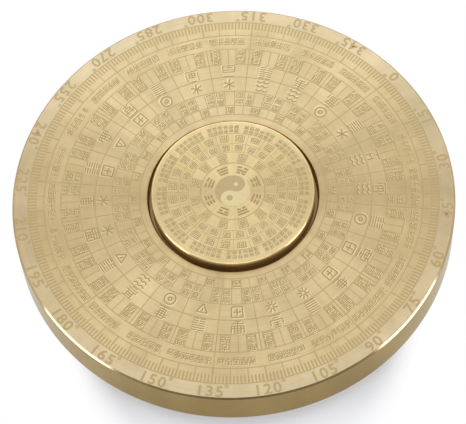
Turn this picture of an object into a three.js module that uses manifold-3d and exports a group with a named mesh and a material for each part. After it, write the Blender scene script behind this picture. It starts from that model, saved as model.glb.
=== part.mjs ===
// Feng shui compass: a brass dial that turns on a ball bearing round a fixed centre cap.
// Millimetres, +Z up. The origin is on the table, under the middle of the foot pad.

import * as THREE from "three";
import { mergeVertices } from "three/addons/utils/BufferGeometryUtils.js";
import Module from "manifold-3d";

const wasm = await Module();
wasm.setup();

// Outer dial
const dialRadius = 49;
const dialThickness = 10.2;
const dialRimChamfer = 0.4;
const wellEdgeChamfer = 0.5;
const lipThickness = 0.8; // the ledge that the bearing drops onto
const lipWidth = 1.2;
const bearingFitGap = 0.05;

// Centre cap
const capRadius = 18.12;
const capRise = 1.8; // how far the cap's face stands over the dial's
const capChamfer = 0.55;
const capWellGap = 0.65;
const capFloorGap = 0.7; // from the well's floor up to the cap's underside
const stemFitGap = 0.1;
const stemEndGap = 0.3; // keeps the stem off the base, so the screw clamps the inner ring
const screwHoleSpareDepth = 1;

// Base plate and pad
const baseRadius = 30;
const baseThickness = 3.2;
const baseChamfer = 0.8;
const baseFootChamfer = 0.3;
const dialRunningGap = 1; // from the base plate up to the dial's underside
const padRadius = 27;
const padThickness = 1.2;
const padPocketDepth = 0.6;
const padPocketGap = 0.3;
const padEdgeChamfer = 0.2;

// Clamp screw, of the common M4 countersunk size
const screwRadius = 1.9;
const screwHeadRadius = 3.8;
const screwHeadEdge = 0.3;
const screwSunkDepth = 0.1;
const screwReach = 7.4; // how far the shank goes up past the base plate
const screwTipChamfer = 0.4;
const screwSocketAcross = 2.5;
const screwSocketDepth = 1.6;
const screwThreadGap = 0.1;
const screwPassGap = 0.3;
const screwHeadGap = 0.1;

// Ball bearing, of the common 8 x 22 x 7 mm size
const ballRadius = 1.9845;
const ballCount = 7;
const grooveGap = 0.1;
const grooveDepth = 0.6;
const raceThickness = 1.416; // from the bottom of a groove to the ring's plain side
const ringEdgeChamfer = 0.3;
const shieldThickness = 0.3;
const shieldInset = 0.4;
const shieldSeatDepth = 0.75;
const shieldLipDepth = 0.5;
const shieldFitGap = 0.05;
const shieldRunningGap = 0.25;
const cageThickness = 0.35;
const cagePocketGap = 0.12;
const cageRunningGap = 0.35;
const cageShieldGap = 0.3455;
const rivetHeadRadius = 0.6;
const rivetHeadHeight = 0.3;
const rivetOverhang = 0.25;
const rivetHoleGap = 0.05;
const rivetHeadGap = 0.2; // from a rivet's head to the pocket beside it
const shoulderInset = 0.2; // keeps the clamping shoulders on the inner ring alone

// How finely round shapes are divided
const dialSides = 96;
const baseSides = 72;
const ringSides = 48;
const cageSidesPerBall = 5;
const pocketSides = 16;
const screwSides = 24;
const hexSides = 6;
const rivetSides = 10;
const ballSides = 12;
const ballBands = 8;
const grooveSteps = 6;
const overrun = 1;

// The bearing's sections, worked out from the balls and what lies round them
const pocketRadius = ballRadius + cagePocketGap;
const pocketOuterRadius = pocketRadius + cageThickness;
const pitchRadius = (pocketOuterRadius + rivetHeadRadius + rivetHeadGap) / Math.sin(Math.PI / ballCount);
const grooveRadius = ballRadius + grooveGap;
const innerShoulderRadius = pitchRadius - grooveRadius + grooveDepth;
const outerLandRadius = pitchRadius + grooveRadius - grooveDepth;
const bearingBoreRadius = pitchRadius - grooveRadius - raceThickness;
const bearingRadius = pitchRadius + grooveRadius + raceThickness;
const bearingHalfWidth = pocketOuterRadius + cageShieldGap + shieldThickness + shieldInset;
const shieldTop = bearingHalfWidth - shieldInset;
const shieldBottom = shieldTop - shieldThickness;
const cageInnerRadius = innerShoulderRadius + cageRunningGap;
const cageOuterRadius = outerLandRadius - cageRunningGap;
const rivetRadius = rivetHeadRadius - rivetOverhang;

// Heights, from the table up
const baseBottom = padThickness - padPocketDepth;
const baseTop = baseBottom + baseThickness;
const dialBottom = baseTop + dialRunningGap;
const dialTop = dialBottom + dialThickness;
const bearingBottom = dialBottom + lipThickness;
const bearingMiddle = bearingBottom + bearingHalfWidth;
const bearingTop = bearingMiddle + bearingHalfWidth;
const capUnderside = bearingTop + capFloorGap;
const capTop = dialTop + capRise;

// Radii that two pieces share
const wellRadius = capRadius + capWellGap;
const lipRadius = bearingRadius - lipWidth;
const shoulderRadius = innerShoulderRadius - shoulderInset;
const stemRadius = bearingBoreRadius - stemFitGap;
const screwHoleRadius = screwRadius + screwThreadGap;
const screwPassRadius = screwRadius + screwPassGap;
const screwTop = baseTop + screwReach;

// Helpers

// A solid turned round Z from a section of [radius, height] points, listed once round it
function turned(section, sides) {
  const onAxis = section[0][0] === 0 && section.at(-1)[0] === 0;
  const points = section.map(([radius, height]) => new THREE.Vector2(radius, height));
  if (!onAxis) points.push(points[0].clone());
  return new THREE.LatheGeometry(points, sides).rotateX(Math.PI / 2);
}

// The groove's arc, from its lower edge to its upper one; side is 1 in the outer ring and -1 in the inner
function grooveArc(side) {
  const halfAngle = Math.acos((grooveRadius - grooveDepth) / grooveRadius);
  return Array.from({ length: grooveSteps + 1 }, (_, step) => {
    const angle = halfAngle * ((2 * step) / grooveSteps - 1);
    return [pitchRadius + side * grooveRadius * Math.cos(angle), grooveRadius * Math.sin(angle)];
  });
}

function toSolid(geometry) {
  const bare = geometry.clone();
  bare.deleteAttribute("normal");
  bare.deleteAttribute("uv");
  const welded = mergeVertices(bare);
  return new wasm.Manifold(new wasm.Mesh({
    numProp: 3,
    vertProperties: new Float32Array(welded.attributes.position.array),
    triVerts: new Uint32Array(welded.index.array),
  }));
}

function toGeometry(solid) {
  const { vertProperties, triVerts } = solid.getMesh();
  const geometry = new THREE.BufferGeometry();
  geometry.setAttribute("position", new THREE.BufferAttribute(vertProperties, 3));
  geometry.setIndex(new THREE.BufferAttribute(triVerts, 1));
  geometry.computeVertexNormals();
  return geometry;
}

function finish(color, roughness, metalness) {
  return () => new THREE.MeshStandardMaterial({ color, roughness, metalness });
}

const brass = finish(0xdcc48a, 0.35, 1);
const paleBrass = finish(0xe8d6a0, 0.32, 1);
const darkBrass = finish(0xa58a4c, 0.5, 1);
const bearingSteel = finish(0xb8bcc0, 0.2, 1);
const sheetSteel = finish(0x9a9da0, 0.4, 1);
const screwSteel = finish(0x55585c, 0.45, 1);
const rubber = finish(0x1c1c1d, 0.9, 0);

const compass = new THREE.Group();

function add(name, geometry, makeFinish, parent = compass) {
  const mesh = new THREE.Mesh(geometry, makeFinish());
  mesh.name = name;
  parent.add(mesh);
  return mesh;
}

// Foot pad, in the base plate's shallow pocket
function padGeometry() {
  return turned([
    [0, 0],
    [padRadius - padEdgeChamfer, 0],
    [padRadius, padEdgeChamfer],
    [padRadius, padThickness],
    [0, padThickness],
  ], baseSides);
}

// Base plate: a disc with a boss that carries the bearing's inner ring, bored and countersunk for the screw
function basePlateGeometry() {
  const sinkRadius = screwHeadRadius + screwHeadEdge + screwSunkDepth + screwHeadGap;
  return turned([
    [screwPassRadius, padThickness + sinkRadius - screwPassRadius],
    [sinkRadius, padThickness],
    [padRadius + padPocketGap, padThickness],
    [padRadius + padPocketGap, baseBottom],
    [baseRadius - baseFootChamfer, baseBottom],
    [baseRadius, baseBottom + baseFootChamfer],
    [baseRadius, baseTop - baseChamfer],
    [baseRadius - baseChamfer, baseTop],
    [shoulderRadius, baseTop],
    [shoulderRadius, bearingBottom],
    [screwPassRadius, bearingBottom],
  ], baseSides);
}

// Outer dial: a thick ring with a well in its face and a bore with a ledge for the bearing
function outerDialGeometry() {
  const boreRadius = bearingRadius + bearingFitGap;
  return turned([
    [lipRadius, dialBottom],
    [dialRadius - dialRimChamfer, dialBottom],
    [dialRadius, dialBottom + dialRimChamfer],
    [dialRadius, dialTop - dialRimChamfer],
    [dialRadius - dialRimChamfer, dialTop],
    [wellRadius + wellEdgeChamfer, dialTop],
    [wellRadius, dialTop - wellEdgeChamfer],
    [wellRadius, bearingTop],
    [boreRadius, bearingTop],
    [boreRadius, bearingBottom],
    [lipRadius, bearingBottom],
  ], dialSides);
}

// Centre cap: a disc with a shoulder on the inner ring and a stem through its bore, drilled for the screw
function centreCapGeometry() {
  const holeTop = screwTop + screwHoleSpareDepth;
  const stemBottom = bearingBottom + stemEndGap;
  return turned([
    [0, holeTop],
    [screwHoleRadius, holeTop],
    [screwHoleRadius, stemBottom],
    [stemRadius, stemBottom],
    [stemRadius, bearingTop],
    [shoulderRadius, bearingTop],
    [shoulderRadius, capUnderside],
    [capRadius, capUnderside],
    [capRadius, capTop - capChamfer],
    [capRadius - capChamfer, capTop],
    [0, capTop],
  ], dialSides);
}

// Clamp screw: a countersunk head under the base plate, its shank up inside the stem, with a hex socket
function clampScrewGeometry() {
  const headBottom = padThickness + screwSunkDepth;
  const coneBottom = headBottom + screwHeadEdge;
  const body = turned([
    [0, headBottom],
    [screwHeadRadius, headBottom],
    [screwHeadRadius, coneBottom],
    [screwRadius, coneBottom + screwHeadRadius - screwRadius],
    [screwRadius, screwTop - screwTipChamfer],
    [screwRadius - screwTipChamfer, screwTop],
    [0, screwTop],
  ], screwSides);
  const cornerRadius = screwSocketAcross / Math.sqrt(3);
  const socket = new THREE.CylinderGeometry(cornerRadius, cornerRadius, screwSocketDepth + overrun, hexSides);
  socket.rotateX(Math.PI / 2).translate(0, 0, headBottom + (screwSocketDepth - overrun) / 2);
  return toGeometry(toSolid(body).subtract(toSolid(socket)));
}

// Outer ring of the bearing: a groove in the middle and a snap-in seat for a shield at each end
function outerRingGeometry() {
  const seatRadius = outerLandRadius + shieldSeatDepth;
  const mouthRadius = outerLandRadius + shieldLipDepth;
  const upperEnd = [
    [outerLandRadius, shieldBottom],
    [seatRadius, shieldBottom],
    [seatRadius, shieldTop],
    [mouthRadius, shieldTop],
    [mouthRadius, bearingHalfWidth],
    [bearingRadius - ringEdgeChamfer, bearingHalfWidth],
    [bearingRadius, bearingHalfWidth - ringEdgeChamfer],
  ];
  const lowerEnd = upperEnd.map(([radius, height]) => [radius, -height]).reverse();
  return turned([...lowerEnd, ...grooveArc(1), ...upperEnd].reverse(), ringSides);
}

function innerRingGeometry() {
  const upperEnd = [
    [innerShoulderRadius, bearingHalfWidth],
    [bearingBoreRadius + ringEdgeChamfer, bearingHalfWidth],
    [bearingBoreRadius, bearingHalfWidth - ringEdgeChamfer],
  ];
  const lowerEnd = upperEnd.map(([radius, height]) => [radius, -height]).reverse();
  return turned([...lowerEnd, ...grooveArc(-1), ...upperEnd], ringSides);
}

// A square-edged ring between two heights
function plainRing(innerRadius, outerRadius, oneHeight, otherHeight, sides) {
  const low = Math.min(oneHeight, otherHeight);
  const high = Math.max(oneHeight, otherHeight);
  return turned([
    [innerRadius, low],
    [outerRadius, low],
    [outerRadius, high],
    [innerRadius, high],
  ], sides);
}

// Shield: a thin washer from its seat in the outer ring to just short of the inner ring; side is 1 or -1
function shieldGeometry(side) {
  const innerRadius = innerShoulderRadius + shieldRunningGap;
  const outerRadius = outerLandRadius + shieldSeatDepth - shieldFitGap;
  return plainRing(innerRadius, outerRadius, side * shieldBottom, side * shieldTop, ringSides);
}

// Where each ball or rivet is, as an angle round the bearing
function stationAngles(offsetShare) {
  return Array.from({ length: ballCount }, (_, index) => (2 * Math.PI * (index + offsetShare)) / ballCount);
}

// One half of the ribbon cage: flat webs joined by arches over the balls, trimmed to a band; side is 1 or -1
function cageHalfGeometry(side) {
  const band = (innerRadius, outerRadius, height) => toSolid(
    plainRing(innerRadius, outerRadius, 0, side * height, cageSidesPerBall * ballCount),
  );
  const bar = (radius, angle) => {
    const length = cageOuterRadius + overrun;
    const geometry = new THREE.CylinderGeometry(radius, radius, length, pocketSides);
    return toSolid(geometry.rotateZ(Math.PI / 2).translate(length / 2, 0, 0).rotateZ(angle));
  };
  const rivetHole = (angle) => {
    const radius = rivetRadius + rivetHoleGap;
    const geometry = new THREE.CylinderGeometry(radius, radius, 2 * (cageThickness + overrun), rivetSides);
    return toSolid(geometry.rotateX(Math.PI / 2).translate(pitchRadius, 0, 0).rotateZ(angle));
  };
  let half = band(cageInnerRadius - overrun, cageOuterRadius + overrun, cageThickness);
  for (const angle of stationAngles(0)) half = half.add(bar(pocketOuterRadius, angle));
  for (const angle of stationAngles(0)) half = half.subtract(bar(pocketRadius, angle));
  for (const angle of stationAngles(0.5)) half = half.subtract(rivetHole(angle));
  return toGeometry(half.intersect(band(cageInnerRadius, cageOuterRadius, pocketOuterRadius + overrun)));
}

// Rivet: a head on each side of the two webs
function rivetGeometry() {
  const headTop = cageThickness + rivetHeadHeight;
  return turned([
    [0, -headTop],
    [rivetHeadRadius, -headTop],
    [rivetHeadRadius, -cageThickness],
    [rivetRadius, -cageThickness],
    [rivetRadius, cageThickness],
    [rivetHeadRadius, cageThickness],
    [rivetHeadRadius, headTop],
    [0, headTop],
  ], rivetSides);
}

// The fixed pieces and the dial
add("base_pad", padGeometry(), rubber);
add("base_plate", basePlateGeometry(), darkBrass);
add("clamp_screw", clampScrewGeometry(), screwSteel);
add("centre_cap", centreCapGeometry(), paleBrass);
add("outer_dial", outerDialGeometry(), brass);

// The bearing, round its own middle
const bearing = new THREE.Group();
bearing.position.z = bearingMiddle;
compass.add(bearing);
add("bearing_inner_ring", innerRingGeometry(), bearingSteel, bearing);
add("bearing_outer_ring", outerRingGeometry(), bearingSteel, bearing);
add("shield_upper", shieldGeometry(1), sheetSteel, bearing);
add("shield_lower", shieldGeometry(-1), sheetSteel, bearing);
add("cage_upper", cageHalfGeometry(1), sheetSteel, bearing);
add("cage_lower", cageHalfGeometry(-1), sheetSteel, bearing);
stationAngles(0).forEach((angle, index) => {
  const geometry = new THREE.SphereGeometry(ballRadius, ballSides, ballBands);
  const ball = add(`ball_${index + 1}`, geometry, bearingSteel, bearing);
  ball.position.set(pitchRadius * Math.cos(angle), pitchRadius * Math.sin(angle), 0);
});
stationAngles(0.5).forEach((angle, index) => {
  const rivet = add(`cage_rivet_${index + 1}`, rivetGeometry(), sheetSteel, bearing);
  rivet.position.set(pitchRadius * Math.cos(angle), pitchRadius * Math.sin(angle), 0);
});

export default compass;
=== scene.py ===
from math import acos, cos, pi, radians, sin, tan

import bmesh
import bpy
import numpy as np
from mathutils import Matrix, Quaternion, Vector


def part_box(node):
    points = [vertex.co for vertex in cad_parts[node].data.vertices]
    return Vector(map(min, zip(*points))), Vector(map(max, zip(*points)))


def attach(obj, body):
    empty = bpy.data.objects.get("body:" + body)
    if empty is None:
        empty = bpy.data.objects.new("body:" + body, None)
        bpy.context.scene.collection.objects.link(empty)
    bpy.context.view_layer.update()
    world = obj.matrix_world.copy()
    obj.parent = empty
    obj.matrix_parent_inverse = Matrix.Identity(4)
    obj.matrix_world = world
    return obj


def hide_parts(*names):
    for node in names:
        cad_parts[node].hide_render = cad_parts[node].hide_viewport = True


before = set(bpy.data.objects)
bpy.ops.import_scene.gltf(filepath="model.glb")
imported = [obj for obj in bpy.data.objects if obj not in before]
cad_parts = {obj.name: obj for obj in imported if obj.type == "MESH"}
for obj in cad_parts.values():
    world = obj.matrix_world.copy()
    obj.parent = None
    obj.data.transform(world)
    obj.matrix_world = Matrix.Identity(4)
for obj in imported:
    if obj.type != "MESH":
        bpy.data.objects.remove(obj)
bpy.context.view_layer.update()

mm = 0.001
print("frame loaded")


# meshes: each is an array of corners in mm and a list of faces

def addObject(name, data):
    added = bpy.data.objects.new(name, data)
    bpy.context.scene.collection.objects.link(added)
    return added


# The names after the slot are the nodes that the piece replaces. Faces turned more than sharpAngle apart meet
# in a sharp edge.
def makePiece(name, mesh, finish, body, slot, *replaced, sharpAngle=35):
    points, faces = mesh
    data = bpy.data.meshes.new(name)
    data.from_pydata((np.asarray(points) * mm).tolist(), [], faces)
    data.polygons.foreach_set("use_smooth", np.ones(len(data.polygons), bool))
    data.set_sharp_from_angle(angle=radians(sharpAngle))
    data.materials.append(finish)
    data.update()
    piece = addObject(name, data)
    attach(piece, body)
    if replaced:
        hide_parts(*replaced)


# Several meshes as one: their corners in a row, and each one's faces counted on from its own first corner
def joined(meshes):
    starts = np.cumsum([0] + [len(points) for points, _ in meshes]).tolist()
    faces = [[index + start for index in face] for start, mesh in zip(starts, meshes) for face in mesh[1]]
    return np.vstack([points for points, _ in meshes]), faces


# Four-sided faces of a grid whose rows each close on themselves, as the last row does on the first if closed
def gridFaces(rows, sides, closed=True):
    i, j = np.arange(rows if closed else rows - 1)[:, None] * sides, np.arange(sides)
    nextRow, nextSide = (i + sides) % (rows * sides), (j + 1) % sides
    return np.stack([i + j, i + nextSide, nextRow + nextSide, nextRow + j], -1).reshape(-1, 4)


# Turned surface: the profile point (radius, height) goes round Z to (radius cos u, radius sin u, height).
# A profile that starts and ends on the axis closes there in a fan, and any other one closes on itself.
# reshape(radius, height, u) may change the radius round the axis, as for a socket or a thread.
def turnedSurface(profile, sides, centre=(0, 0, 0), reshape=None):
    profile = np.asarray(profile, float)
    onAxis = profile[0, 0] < 1e-9 and profile[-1, 0] < 1e-9
    r, z = profile[:, 0], profile[:, 1]
    turning = np.sum(r * np.roll(z, -1) - np.roll(r, -1) * z)
    if turning < 0:
        r, z = r[::-1], z[::-1]
    rim = slice(1, -1) if onAxis else slice(None)
    u = np.linspace(0, 2 * pi, sides, endpoint=False)
    ringR, ringZ = r[rim, None], z[rim, None]
    if reshape:
        ringR = reshape(ringR, ringZ, u)
    points = np.stack([ringR * np.cos(u), ringR * np.sin(u), ringZ + 0 * u], -1).reshape(-1, 3)
    rows, j = len(ringR), np.arange(sides)
    faces = gridFaces(rows, sides, not onAxis).tolist()
    if onAxis:
        nextSide, last = (j + 1) % sides, (rows - 1) * sides
        points = np.vstack([points, [[0, 0, z[0]], [0, 0, z[-1]]]])
        faces += np.stack([np.full(sides, rows * sides), nextSide, j], -1).tolist()
        faces += np.stack([last + j, last + nextSide, np.full(sides, rows * sides + 1)], -1).tolist()
    return points + np.asarray(centre, float), faces


# Rounds a profile's corners: each (radius, height, rounding) becomes an arc that touches both of its sides,
# with one more point just outside each end of the arc, which keeps the flats beside it flat in shading
def roundedProfile(corners, steps=6, closed=True, hold=0.05, mostOfSide=0.49):
    corners = np.asarray(corners, float)
    count, out = len(corners), []
    for k, (r, z, rounding) in enumerate(corners):
        here = np.array([r, z])
        if rounding <= 0 or (not closed and k in (0, count - 1)):
            out.append(here)
            continue
        a = corners[k - 1, :2] - here
        b = corners[(k + 1) % count, :2] - here
        lengthA, lengthB = np.linalg.norm(a), np.linalg.norm(b)
        a, b = a / lengthA, b / lengthB
        half = acos(np.clip(a @ b, -1, 1)) / 2
        reach = rounding / tan(half)
        middle = here + (a + b) / np.linalg.norm(a + b) * rounding / sin(half)
        start, end = here + a * reach - middle, here + b * reach - middle
        sweep = pi - 2 * half
        t = np.linspace(0, 1, steps + 1)[:, None]
        arc = middle + (np.sin((1 - t) * sweep) * start + np.sin(t * sweep) * end) / sin(sweep)
        out.append(here + a * min(reach + hold, lengthA * mostOfSide))
        out.extend(arc)
        out.append(here + b * min(reach + hold, lengthB * mostOfSide))
    return np.array(out)


# marks: flat strokes bent round the dial

markShape = {
    "topDrop": 0.001,  # a face's highest marks end this far below the CAD's top
    "faceDrop": 0.015,  # and the plain face lies this far below it
    "strokeDepth": 0.022, "levelStep": 0.0012, "groundLevel": 8,
    "edgeShift": 0.75, "edgeLevels": 3,
    "ringDepth": 0.02, "ringDrop": 0.004, "ringSides": 360,
}


# A label's own point (x, y), in mm with y to the label's top, goes to radius r0 - y and to the angle
# a0 - x / r0, counted clockwise from +Y in radians, so that every label's top points to the middle
def bentRound(x, y, r0, a0):
    radius, angle = r0 - y, a0 - x / r0
    return np.stack([radius * np.sin(angle), radius * np.cos(angle)], -1)


# Strokes are rows of xa, ya, xb, yb, pen width, r0, a0 and level. Each becomes a thin closed block from
# one end to the other, with its top a hair lower for each level, so that strokes may cross.
def strokeBlocks(strokes, top):
    s = np.asarray(strokes, float)
    a, b, pen, r0, a0, level = s[:, 0:2], s[:, 2:4], s[:, 4:5], s[:, 5:6], s[:, 6:7], s[:, 7:8]
    along = (b - a) / np.linalg.norm(b - a, axis=1, keepdims=True)
    across = np.stack([-along[:, 1], along[:, 0]], -1) * pen / 2
    corners = np.stack([a - across, b - across, b + across, a + across], 1)
    flat = bentRound(corners[..., 0], corners[..., 1], r0, a0)
    high = np.broadcast_to((top - level * markShape["levelStep"])[:, :, None], (len(s), 4, 1))
    low = np.full((len(s), 4, 1), top - markShape["strokeDepth"])
    points = np.concatenate([np.concatenate([flat, low], -1), np.concatenate([flat, high], -1)], 1)
    block = np.array([[3, 2, 1, 0], [4, 5, 6, 7], [0, 1, 5, 4], [1, 2, 6, 5], [2, 3, 7, 6], [3, 0, 4, 7]])
    faces = (np.arange(len(s))[:, None, None] * 8 + block).reshape(-1, 4)
    return points.reshape(-1, 3), faces.tolist()


# Full rings at shares of the dial's radius
def ringLines(shares, width, top):
    low, high = top - markShape["ringDepth"], top - markShape["ringDrop"]
    edges = [(share * dialRadius - width / 2, share * dialRadius + width / 2) for share in shares]
    return joined([turnedSurface([(inner, low), (outer, low), (outer, high), (inner, high)],
                                 markShape["ringSides"]) for inner, outer in edges])


# Degrees on the dial or the cap, counted clockwise from where their marks start, as radians from +Y
def markAngle(degrees, marks):
    return np.radians(np.asarray(degrees, float) + marks["turn"])


# Radial strokes at the given angles, between two shares of the dial's radius
def radialStrokes(angles, inner, outer, pen, level=1):
    half, middle = (outer - inner) / 2 * dialRadius, (outer + inner) / 2 * dialRadius
    strokes = np.tile([0, -half, 0, half, pen, middle, 0, level], (len(angles), 1))
    strokes[:, 6] = angles
    return strokes


# Degrees of a number of even places all round, from 0
def evenPlaces(count):
    return np.arange(count) * 360 / count


# Sets a figure, drawn in a square from -1 to 1, at its width and height in a place on the dial
def placedFigure(figure, size, pen, radiusShare, angle):
    figure = np.asarray(figure, float)
    rest = np.tile([pen, radiusShare * dialRadius, angle], (len(figure), 1))
    return np.hstack([figure[:, :4] * [*size, *size] / 2, rest, figure[:, 4:5]])


# Painted highlight beside each stroke: the same stroke moved by a part of its pen, and a little lower
def litEdges(strokes):
    edges = np.array(strokes, float)
    shift = edges[:, 4:5] * markShape["edgeShift"]
    edges[:, [0, 2]] += shift
    edges[:, [1, 3]] -= shift
    edges[:, 7] += markShape["edgeLevels"]
    return edges


# The etched ground of each figure: one wide stroke over the figure's own width and height, under its strokes
def groundStrokes(figures, margin):
    rows = []
    for figure in figures:
        x, y = figure[:, [0, 2]], figure[:, [1, 3]]
        middle = (y.min() + y.max()) / 2
        rows.append([x.min() - margin, middle, x.max() + margin, middle, np.ptp(y) + 2 * margin, figure[0, 5],
                     figure[0, 6], markShape["groundLevel"]])
    return np.array(rows)


# Figures as two or three pieces, by the number of names: strokes, painted highlight strokes and etched ground
def addFigures(addPiece, names, figures, top, margin):
    strokes = np.vstack(figures)
    layers = ((strokes, etchedDeep), (litEdges(strokes), paintedEdgeHighlight),
              (groundStrokes(figures, margin), etchedGround))
    for name, (rows, finish) in zip(names, layers):
        addPiece(name, strokeBlocks(rows, top), finish)


# figures: rows of xa, ya, xb, yb and level

figureShape = {"latticeReaches": [0.5, 1.0], "latticeKept": 0.85, "postEnd": 0.12, "rayLevels": 0.7,
               "waveRise": 0.16, "waveReach": 0.8, "waveBends": 4, "lineGap": 0.17}


# Window lattice: level bars of seeded reach, with a middle post and one or two pairs of side posts
def latticeFigure(rng, rows):
    levels = np.linspace(1, -1, rows)
    reach = rng.choice(figureShape["latticeReaches"], rows)
    kept = rng.random(rows) < figureShape["latticeKept"]
    kept[rng.integers(rows)] = True
    bars = np.stack([-reach, levels, reach, levels, 0 * reach], -1)[kept]
    top, bottom = sorted(rng.choice(rows, 2, replace=False))
    posts = [[0, levels[top], 0, levels[bottom] - figureShape["postEnd"], 1]]
    for x in rng.choice(figureShape["latticeReaches"], rng.integers(1, 3), replace=False):
        start = rng.integers(rows - 2)
        end = rng.integers(start + 2, rows)
        posts += [[side * x, levels[start], side * x, levels[end], 1] for side in (-1, 1)]
    return np.vstack([bars, posts])


# Star: rays from the middle, or from a share of the way out, to the edge of an oval
def starFigure(rays, turn=0.0, inner=0.0):
    angle = turn + np.arange(rays) * 2 * pi / rays
    c, s = np.cos(angle), np.sin(angle)
    return np.stack([inner * c, inner * s, c, s, np.arange(rays) * figureShape["rayLevels"] % 3], -1)


# Ring of straight strokes round the middle: a triangle, square, diamond or, with many sides, a circle
def ringFigure(sides, turn=0.0, size=1.0):
    angle = turn + np.arange(sides + 1) * 2 * pi / sides
    x, y = size * np.cos(angle), size * np.sin(angle)
    return np.stack([x[:-1], y[:-1], x[1:], y[1:], np.arange(sides) % 3], -1)


# Wave: stacked zigzag lines
def waveFigure(lines):
    bends, rise, reach = figureShape["waveBends"], figureShape["waveRise"], figureShape["waveReach"]
    x = np.linspace(-1, 1, bends + 1)
    y = np.where(np.arange(bends + 1) % 2, rise, -rise)
    return np.vstack([np.stack([x[:-1], y[:-1] + h, x[1:], y[1:] + h, np.arange(bends) % 2], -1)
                      for h in np.linspace(reach, -reach, lines)])


# Yin and yang lines, from the label's bottom to its top: 1 is a whole line and 0 a broken one
def lineFigure(lines):
    gap, rows = figureShape["lineGap"], []
    for height, whole in zip(np.linspace(-1, 1, len(lines)), lines):
        if whole:
            rows.append([-1, height, 1, height, 0])
        else:
            rows += [[-1, height, -gap, height, 0], [gap, height, 1, height, 0]]
    return np.array(rows, float)


# finishes

def addNode(tree, kind, inputs=None, **settings):
    made = tree.nodes.new(kind)
    for key, value in settings.items():
        setattr(made, key, value)
    for key, value in (inputs or {}).items():
        if isinstance(value, bpy.types.NodeSocket):
            tree.links.new(value, made.inputs[key])
        else:
            made.inputs[key].default_value = value
    return made


def addMath(tree, operation, a, b=0.0, clamp=False):
    return addNode(tree, "ShaderNodeMath", {0: a, 1: b}, operation=operation, use_clamp=clamp).outputs[0]


def addVectorMath(tree, operation, *vectors):
    return addNode(tree, "ShaderNodeVectorMath", dict(enumerate(vectors)), operation=operation).outputs


def addMix(tree, factor, a, b, blend="MIX"):
    return addNode(tree, "ShaderNodeMix", {"Factor": factor, 6: a, 7: b}, data_type="RGBA",
                   blend_type=blend).outputs[2]


# From low to high, as the value goes from start to end
def addRange(tree, value, start, end, low, high, kind="LINEAR"):
    return addNode(tree, "ShaderNodeMapRange", {
        "Value": value, "From Min": start, "From Max": end, "To Min": low, "To Max": high},
        interpolation_type=kind).outputs[0]


def addNoise(tree, place, scale, detail, roughness):
    return addNode(tree, "ShaderNodeTexNoise", {"Vector": place, "Scale": scale, "Detail": detail,
                                                "Roughness": roughness}).outputs["Fac"]


# How far a noise is from its middle, times a contrast
def addSwing(tree, noise, contrast):
    return addMath(tree, "MULTIPLY", addMath(tree, "SUBTRACT", noise, 0.5), contrast)


def addPlace(tree, kind="Object"):
    return addNode(tree, "ShaderNodeTexCoord").outputs[kind]


def srgb(r, g, b):
    c = np.array([r, g, b]) / 255
    linear = np.where(c <= 0.04045, c / 12.92, ((c + 0.055) / 1.055) ** 2.4)
    return (*linear.tolist(), 1.0)


# A group whose inputs start at the given values, and which puts out a colour, a roughness and a height
def newGroup(name, inputs):
    group = bpy.data.node_groups.new(name, "ShaderNodeTree")
    kinds = {True: "NodeSocketColor", False: "NodeSocketFloat"}
    for label, value in inputs.items():
        kind = kinds[isinstance(value, tuple)]
        group.interface.new_socket(label, in_out="INPUT", socket_type=kind).default_value = value
    for label in ("Color", "Roughness", "Height"):
        group.interface.new_socket(label, in_out="OUTPUT", socket_type=kinds[label == "Color"])
    return group, addNode(group, "NodeGroupInput").outputs


# A group's outputs, with a roughness that swings with the height
def endGroup(group, source, color, height):
    roughness = addMath(group, "ADD", source["Roughness"], addSwing(group, height, source["Roughness Swing"]))
    addNode(group, "NodeGroupOutput", {"Color": color, "Roughness": roughness, "Height": height})
    return group


grainShape = {
    "ringTurn": 2.2, "ringDetail": 3.0, "ringRoughness": 0.65,
    "cloudScale": 70.0, "cloudDetail": 6.0, "cloudRoughness": 0.75,
    "fanTurn": 5.0, "fanRadius": 40.0, "fanDetail": 4.0, "fanRoughness": 0.6,
    "speckDetail": 5.0, "speckRoughness": 0.7,
}
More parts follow.
